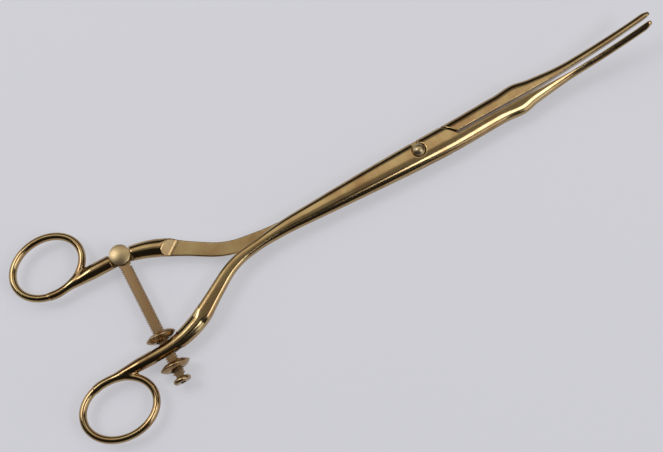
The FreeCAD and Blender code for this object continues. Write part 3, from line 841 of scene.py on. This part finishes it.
class DILATOR_OT_arms(bpy.types.Operator):
    """Forge both arms, each with its finger bow, handle, lapped shank, jaw and blade"""

    bl_idname = "dilator.arms"
    bl_label = "Forge the arms"

    def execute(self, context):
        forging = context.scene.dilator_forging
        metals = context.scene.dilator_metals
        for side, word in ((1, "back"), (-1, "front")):
            name = word + "_arm_metal"
            finish = metal(name, metals.arms, metals.tarnish, *ARM_FINISH, MILLED_ROUGHNESS)
            whole, milled, body = arm_fields(side, forging.worn_edge, forging.crotch_fillet)
            nodes = [word + "_bow", word + "_handle", word + "_blade"]
            lows, highs = zip(*[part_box(name) for name in nodes])
            margin = MARGIN_CELLS * forging.cell
            low = np.min([list(v) for v in lows], axis=0) / MM - margin
            high = np.max([list(v) for v in highs], axis=0) / MM + margin
            values = lattice(whole, low, high, forging.cell)
            points, quads = net(values, low, forging.cell)
            points, normals = settle(whole, points, quads, forging.cell)
            arm = mesh_object(word + "_arm_forging", points * MM, quads, normals, finish)
            flat = np.abs(milled(points)) < forging.worn_edge * MILLED_NEAR
            flat &= body(points) < -forging.worn_edge * MILLED_DEEP
            attribute = arm.data.attributes.new("milled", "FLOAT", "POINT")
            attribute.data.foreach_set("value", flat.astype(float))
            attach(arm, word + "_arm")
            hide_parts(*nodes)
        return {"FINISHED"}


class DILATOR_OT_studs(bpy.types.Operator):
    """Turn the pivot stud and the cross bar's screw"""

    bl_idname = "dilator.studs"
    bl_label = "Turn the studs"

    def execute(self, context):
        segments = context.scene.dilator_forging.segments
        metals = context.scene.dilator_metals
        finish = metal("stud_metal", metals.studs, metals.arms, *STUD_FINISH)
        seat = PIVOT_HEIGHT - HEAD_SEAT + HEAD_LIFT
        head = domed(HEAD_RADIUS, seat, HEAD_RIM, HEAD_DOME, HEAD_STEPS)
        corners = [
            (0.0, 0.0),
            (FOOT_RADIUS, 0.0),
            (FOOT_RADIUS, FOOT_HEIGHT),
            (NECK_RADIUS, FOOT_HEIGHT),
            (NECK_RADIUS, seat),
            *head,
        ]
        radii = [0.0, FOOT_ROUNDING, 0.0, 0.0, 0.0, *HEAD_ROUNDING] + [0.0] * (len(head) - 2)
        form = turned(*softened(corners, radii), Matrix.Identity(4), segments)
        stud = mesh_object("domed_pivot_stud", *form, finish)
        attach(stud, "back_arm")
        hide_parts("pivot_stud")

        seat = BAR_HALF + EYE_CLEARANCE
        head = domed(SCREW_RADIUS, seat, SCREW_RIM, SCREW_DOME, SCREW_STEPS)
        bottom = PIN_BOTTOM - LAP_HEIGHT
        corners = [(0.0, bottom), (PIN_RADIUS, bottom), (PIN_RADIUS, seat), *head]
        radii = [0.0, PIN_ROUNDING, 0.0, *SCREW_ROUNDING] + [0.0] * (len(head) - 2)
        place = Matrix.Translation((*bar_axes()[0], LAP_HEIGHT))
        form = turned(*softened(corners, radii), place, segments)
        screw = mesh_object("wide_bar_screw", *form, finish)
        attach(screw, "back_arm")
        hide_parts("bar_screw")
        return {"FINISHED"}


def thread_tree():
    """Node tree that sets thread teeth along both narrow edges of the bar."""
    tree = bpy.data.node_groups.new("thread_teeth", "GeometryNodeTree")
    for name, kind in (
        ("Bar", "Geometry"),
        ("Tooth", "Object"),
        ("Count", "Int"),
        ("Start", "Float"),
        ("Pitch", "Float"),
        ("Metal", "Material"),
    ):
        tree.interface.new_socket(name, in_out="INPUT", socket_type="NodeSocket" + kind)
    tree.interface.new_socket("Threaded bar", in_out="OUTPUT", socket_type="NodeSocketGeometry")
    given = node(tree, "NodeGroupInput").outputs
    tooth = node(tree, "GeometryNodeObjectInfo", {"Object": given["Tooth"]})
    step = node(tree, "ShaderNodeCombineXYZ", {"Y": given["Pitch"]})
    half_pitch = reckoned(tree, "MULTIPLY_ADD", given["Pitch"], 0.5, given["Start"])
    join = node(tree, "GeometryNodeJoinGeometry")
    for start, turn in ((given["Start"], 0.0), (half_pitch, math.pi)):
        first = node(tree, "ShaderNodeCombineXYZ", {"Y": start})
        inputs = {
            "Count": given["Count"],
            "Start Location": first.outputs["Vector"],
            "Offset": step.outputs["Vector"],
        }
        row = node(tree, "GeometryNodeMeshLine", inputs)
        inputs = {
            "Points": row.outputs["Mesh"],
            "Instance": tooth.outputs["Geometry"],
            "Rotation": (0.0, turn, 0.0),
        }
        teeth = node(tree, "GeometryNodeInstanceOnPoints", inputs)
        tree.links.new(teeth.outputs["Instances"], join.inputs["Geometry"])
    tree.links.new(given["Bar"], join.inputs["Geometry"])
    real = node(tree, "GeometryNodeRealizeInstances", {"Geometry": join.outputs["Geometry"]})
    inputs = {"Geometry": real.outputs["Geometry"], "Material": given["Metal"]}
    painted = node(tree, "GeometryNodeSetMaterial", inputs)
    node(tree, "NodeGroupOutput", {"Threaded bar": painted.outputs["Geometry"]})
    return tree


def thread_tooth(pitch, depth, lead):
    """One rounded thread crest on the bar's narrow edge, curved as on a round screw."""
    root = BAR_RADIUS - depth
    half = BAR_HALF - TOOTH_INSET
    flank = [*FLANK, (0.0, 1.0), *((-along, share) for along, share in reversed(FLANK))]
    points, faces = [], []
    for level in range(TOOTH_LEVELS):
        z = half * (2 * level / (TOOTH_LEVELS - 1) - 1)
        for along, share in flank:
            radius = root + depth * max(share, 0.0)
            out = math.sqrt(radius**2 - z * z) + min(share, 0.0)
            points.append((out, along * pitch + z * math.tan(lead), z))
    size = len(flank)
    for level in range(TOOTH_LEVELS - 1):
        for i in range(size):
            j = (i + 1) % size
            low, high = level * size, (level + 1) * size
            faces.append((low + i, low + j, high + j, high + i))
    faces.append(tuple(range(size))[::-1])
    faces.append(tuple(range((TOOTH_LEVELS - 1) * size, TOOTH_LEVELS * size)))
    return mesh_object("tooth", np.array(points) * MM, faces)


def bar_core(width, length):
    """Flat bar with a round eye end, rounded edges and a hole, before its thread is cut."""
    curve = bpy.data.curves.new("bar_plan", "CURVE")
    curve.dimensions = "2D"
    curve.fill_mode = "BOTH"
    curve.extrude = (BAR_HALF - BAR_EDGE) * MM
    curve.bevel_depth = BAR_EDGE * MM
    curve.bevel_resolution = 3
    curve.offset = -BAR_EDGE * MM

    def circle(radius, angles):
        return [(radius * math.cos(angle), radius * math.sin(angle)) for angle in angles]

    start = THREAD_START - TURN_IN
    outline = [(BAR_RADIUS, 0.0), (BAR_RADIUS, start - TURN_IN_RUN)]
    outline += [(width, start), (width, length)]
    outline += [(-x, y) for x, y in reversed(outline)]
    eye = circle(BAR_RADIUS, [math.pi + math.pi * i / EYE_POINTS for i in range(1, EYE_POINTS)])
    turns = [2 * math.pi * i / EYE_POINTS for i in range(EYE_POINTS)]
    hole = circle(PIN_RADIUS + EYE_CLEARANCE, turns)
    for line in (outline + eye, hole):
        spline = curve.splines.new("POLY")
        spline.points.add(len(line) - 1)
        for place, (x, y) in zip(spline.points, line):
            place.co = (x * MM, y * MM, 0.0, 1.0)
        spline.use_cyclic_u = True
    holder = bpy.data.objects.new("bar_plan", curve)
    bpy.context.scene.collection.objects.link(holder)
    bpy.context.view_layer.update()
    evaluated = holder.evaluated_get(bpy.context.evaluated_depsgraph_get())
    mesh = bpy.data.meshes.new_from_object(evaluated)
    bpy.data.objects.remove(holder)
    bpy.data.curves.remove(curve)
    work = bmesh.new()
    work.from_mesh(mesh)
    bmesh.ops.remove_doubles(work, verts=work.verts, dist=WELD * MM)
    bmesh.ops.recalc_face_normals(work, faces=work.faces)
    work.to_mesh(mesh)
    work.free()
    return mesh


class DILATOR_OT_bar(bpy.types.Operator):
    """Cut the cross bar, with its eye and its thread"""

    bl_idname = "dilator.bar"
    bl_label = "Cut the cross bar"

    def execute(self, context):
        thread = context.scene.dilator_thread
        metals = context.scene.dilator_metals
        finish = metal("bar_metal", metals.bar, metals.tarnish, *BAR_FINISH)
        _, _, length = nut_places()
        root = BAR_RADIUS - thread.depth / MM
        core = bar_core(math.sqrt(root**2 - BAR_HALF**2) + CORE_COVER, length)
        bar = bpy.data.objects.new("screw_cut_cross_bar", core)
        context.scene.collection.objects.link(bar)
        tooth = thread_tooth(thread.pitch / MM, thread.depth / MM, thread.lead)
        tree = thread_tree()
        cut = bar.modifiers.new("thread", "NODES")
        cut.node_group = tree
        given = {
            "Tooth": tooth,
            "Count": int((length - THREAD_START) / (thread.pitch / MM)) - 1,
            "Start": THREAD_START * MM,
            "Pitch": thread.pitch,
            "Metal": finish,
        }
        for socket in tree.interface.items_tree:
            if socket.item_type == "SOCKET" and socket.name in given:
                cut[socket.identifier] = given[socket.name]
        context.view_layer.update()
        whole = bpy.data.meshes.new_from_object(
            bar.evaluated_get(context.evaluated_depsgraph_get())
        )
        bar.modifiers.remove(cut)
        bpy.data.objects.remove(tooth)
        screw, across, way, _ = bar_axes()
        whole.transform(
            Matrix(
                (
                    (across[0], way[0], 0.0, screw[0] * MM),
                    (across[1], way[1], 0.0, screw[1] * MM),
                    (0.0, 0.0, 1.0, LAP_HEIGHT * MM),
                    (0.0, 0.0, 0.0, 1.0),
                )
            )
        )
        whole.polygons.foreach_set("use_smooth", [True] * len(whole.polygons))
        whole.set_sharp_from_angle(angle=math.radians(SHARP_ANGLE))
        bar.data = whole
        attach(bar, "bar")
        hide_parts("cross_bar")
        return {"FINISHED"}


class DILATOR_OT_nuts(bpy.types.Operator):
    """Turn both round nuts and the end button"""

    bl_idname = "dilator.nuts"
    bl_label = "Turn the nuts and the button"

    def execute(self, context):
        segments = context.scene.dilator_forging.segments
        metals = context.scene.dilator_metals
        finish = metal("nut_metal", metals.nuts, metals.tarnish, *NUT_FINISH)
        inner, outer, button = nut_places()
        bore = BAR_RADIUS + NUT_FIT
        hub, half, rim = bore + NUT_HUB, NUT_CENTRE / 2, NUT_RIM / 2
        edge = NUT_RADIUS - rim
        belly = ((hub + edge) / 2, half - NUT_BELLY * (half - rim))
        face = arc((hub, -half), (belly[0], -belly[1]), (edge, -rim), FACE_STEPS)
        nose = arc((edge, -rim), (NUT_RADIUS, 0.0), (edge, rim), NOSE_STEPS)
        upper = [(x, -y) for x, y in reversed(face)]
        corners = [(bore, -half), (hub, -half), *face, (edge, -rim), *nose, (edge, rim), *upper]
        corners += [(hub, half), (bore, half)]
        radii = [*NUT_ROUNDING, *[0.0] * (len(corners) - 4), *reversed(NUT_ROUNDING)]
        profile, normals = softened(corners, radii, closed=True)
        for name, body, cad, distance in (
            ("inner_round_nut", "nut_inside", "inner_nut", inner),
            ("outer_round_nut", "nut_outside", "outer_nut", outer),
        ):
            form = turned(profile, normals, on_bar(distance), segments, closed=True)
            nut = mesh_object(name, *form, finish)
            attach(nut, body)
            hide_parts(cad)

        flat = BUTTON_RADIUS - BUTTON_ROUND
        middle = (BUTTON_RADIUS, BUTTON_WIDTH / 2)
        nose = arc((flat, 0.0), middle, (flat, BUTTON_WIDTH), NOSE_STEPS)
        recess = BUTTON_WIDTH - TENON_COVER
        corners = [(0.0, 0.0), (flat, 0.0), *nose, (flat, BUTTON_WIDTH)]
        corners += [(TENON_RADIUS, BUTTON_WIDTH), (TENON_RADIUS, recess), (0.0, recess)]
        radii = [0.0, BUTTON_EDGE, *[0.0] * len(nose), BUTTON_EDGE, *TENON_ROUNDING, 0.0]
        form = turned(*softened(corners, radii), on_bar(button), segments)
        end = mesh_object("riveted_end_button", *form, finish)
        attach(end, "bar")
        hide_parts("end_button")
        return {"FINISHED"}


def panel_light(name, place, aim, size, brightness, colour, turn=0.0):
    """Soft rectangular light of a given brightness, facing a point."""
    light = bpy.data.lights.new(name, "AREA")
    light.shape = "RECTANGLE"
    light.size, light.size_y = size
    light.color = colour
    light.energy = brightness * size[0] * size[1] * math.pi
    lamp = bpy.data.objects.new(name, light)
    bpy.context.scene.collection.objects.link(lamp)
    lamp.location = place
    facing = (Vector(aim) - Vector(place)).to_track_quat("-Z", "Y").to_matrix()
    lamp.rotation_euler = (Matrix.Rotation(math.radians(turn), 3, "Z") @ facing).to_euler()
    lamp.visible_camera = False
    return lamp


class DILATOR_OT_stage(bpy.types.Operator):
    """Lay the floor, light it and place the camera"""

    bl_idname = "dilator.stage"
    bl_label = "Set the stage"

    def execute(self, context):
        stage = context.scene.dilator_stage
        low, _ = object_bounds()
        plane = bpy.data.meshes.new("floor")
        corners = [(-1, -1), (1, -1), (1, 1), (-1, 1)]
        corners = [(x * FLOOR_REACH, y * FLOOR_REACH, low.z) for x, y in corners]
        plane.from_pydata(corners, [], [(0, 1, 2, 3)])
        floor = bpy.data.objects.new("floor", plane)
        context.scene.collection.objects.link(floor)
        paper = bpy.data.materials.new("pale_floor")
        paper.use_nodes = True
        tree = paper.node_tree
        shader = tree.nodes["Principled BSDF"]
        shader.inputs["Roughness"].default_value = FLOOR_ROUGHNESS
        mottle = noise(tree, node(tree, "ShaderNodeTexCoord").outputs["Object"], *MOTTLE)
        shade = [FLOOR_SHADE * c for c in stage.floor]
        tree.links.new(tinted(tree, mottle, stage.floor, shade), shader.inputs["Base Color"])
        glow = node(tree, "ShaderNodeEmission", {"Color": (*FLOOR_GLOW, 1.0)})
        rays = node(tree, "ShaderNodeLightPath").outputs
        seen = reckoned(tree, "MAXIMUM", rays["Is Camera Ray"], rays["Is Glossy Ray"])
        share = reckoned(tree, "MULTIPLY", seen, stage.glow)
        inputs = {"Fac": share, 1: shader.outputs["BSDF"], 2: glow.outputs["Emission"]}
        look = node(tree, "ShaderNodeMixShader", inputs).outputs["Shader"]
        tree.links.new(look, tree.nodes["Material Output"].inputs["Surface"])
        plane.materials.append(paper)
        floor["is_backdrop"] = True

        world = bpy.data.worlds.new("room")
        world.use_nodes = True
        background = world.node_tree.nodes["Background"].inputs
        background["Color"].default_value = (*stage.surroundings, 1.0)
        background["Strength"].default_value = 1.0
        context.scene.world = world

        def around(azimuth, elevation, distance):
            turn, lift = math.radians(azimuth), math.radians(elevation)
            flat = VIEW_RIGHT * math.cos(turn) + VIEW_UP * math.sin(turn)
            way = flat * math.cos(lift) + Vector((0, 0, math.sin(lift)))
            return VIEW_CENTRE + way * distance

        for name, (beyond, height, size), brightness in (
            ("overhead_panel", OVERHEAD_PANEL, stage.overhead),
            ("far_panel", FAR_PANEL, stage.far_panel),
        ):
            place = VIEW_CENTRE + VIEW_UP * beyond + Vector((0, 0, height))
            below = place - Vector((0, 0, 1))
            panel_light(name, place, below, size, brightness, WARM_LIGHT, turn=PANEL_TURN)
        for side, azimuth, brightness in (
            ("left", LEFT_AZIMUTH, stage.left_lamp),
            ("right", RIGHT_AZIMUTH, stage.right_lamp),
        ):
            lamp, low_panel = around(azimuth, *LAMP_PLACE), around(azimuth, *LOW_PLACE)
            panel_light(side + "_lamp", lamp, VIEW_CENTRE, LAMP_SIZE, brightness, COOL_LIGHT)
            settings = LOW_SIZE, stage.low_panels, COOL_LIGHT
            panel_light(side + "_low_panel", low_panel, VIEW_CENTRE, *settings)

        data = bpy.data.cameras.new("camera")
        data.sensor_fit = "HORIZONTAL"
        data.sensor_width = SENSOR_WIDTH
        data.lens = CAMERA_LENS
        camera = bpy.data.objects.new("camera", data)
        context.scene.collection.objects.link(camera)
        camera.location = Vector(CAMERA_PLACE) * MM
        aim = Vector(CAMERA_AIM) * MM
        camera.rotation_euler = (aim - camera.location).to_track_quat("-Z", "Y").to_euler()
        context.scene.camera = camera
        context.scene.view_settings.view_transform = "Standard"
        return {"FINISHED"}


class DILATOR_PT_panel(bpy.types.Panel):
    """Settings and steps of the dilator."""

    bl_idname = "DILATOR_PT_panel"
    bl_label = "Uterine dilator"
    bl_space_type = "VIEW_3D"
    bl_region_type = "UI"
    bl_category = "Dilator"

    def draw(self, context):
        for group in ("dilator_forging", "dilator_thread", "dilator_metals", "dilator_stage"):
            values = getattr(context.scene, group)
            box = self.layout.box()
            for name in values.__annotations__:
                box.prop(values, name)
        for step in STEPS:
            self.layout.operator(step.bl_idname)


STEPS = (DILATOR_OT_arms, DILATOR_OT_studs, DILATOR_OT_bar, DILATOR_OT_nuts, DILATOR_OT_stage)
GROUPS = {
    "dilator_forging": DilatorForging,
    "dilator_thread": DilatorThread,
    "dilator_metals": DilatorMetals,
    "dilator_stage": DilatorStage,
}


def register():
    for group in (*GROUPS.values(), *STEPS, DILATOR_PT_panel):
        bpy.utils.register_class(group)
    for name, group in GROUPS.items():
        setattr(bpy.types.Scene, name, PointerProperty(type=group))


def unregister():
    for name in GROUPS:
        delattr(bpy.types.Scene, name)
    for group in reversed((*GROUPS.values(), *STEPS, DILATOR_PT_panel)):
        bpy.utils.unregister_class(group)


def main():
    register()
    bpy.ops.dilator.arms()
    bpy.ops.dilator.studs()
    bpy.ops.dilator.bar()
    bpy.ops.dilator.nuts()
    bpy.ops.dilator.stage()


if __name__ == "__main__":
    main()
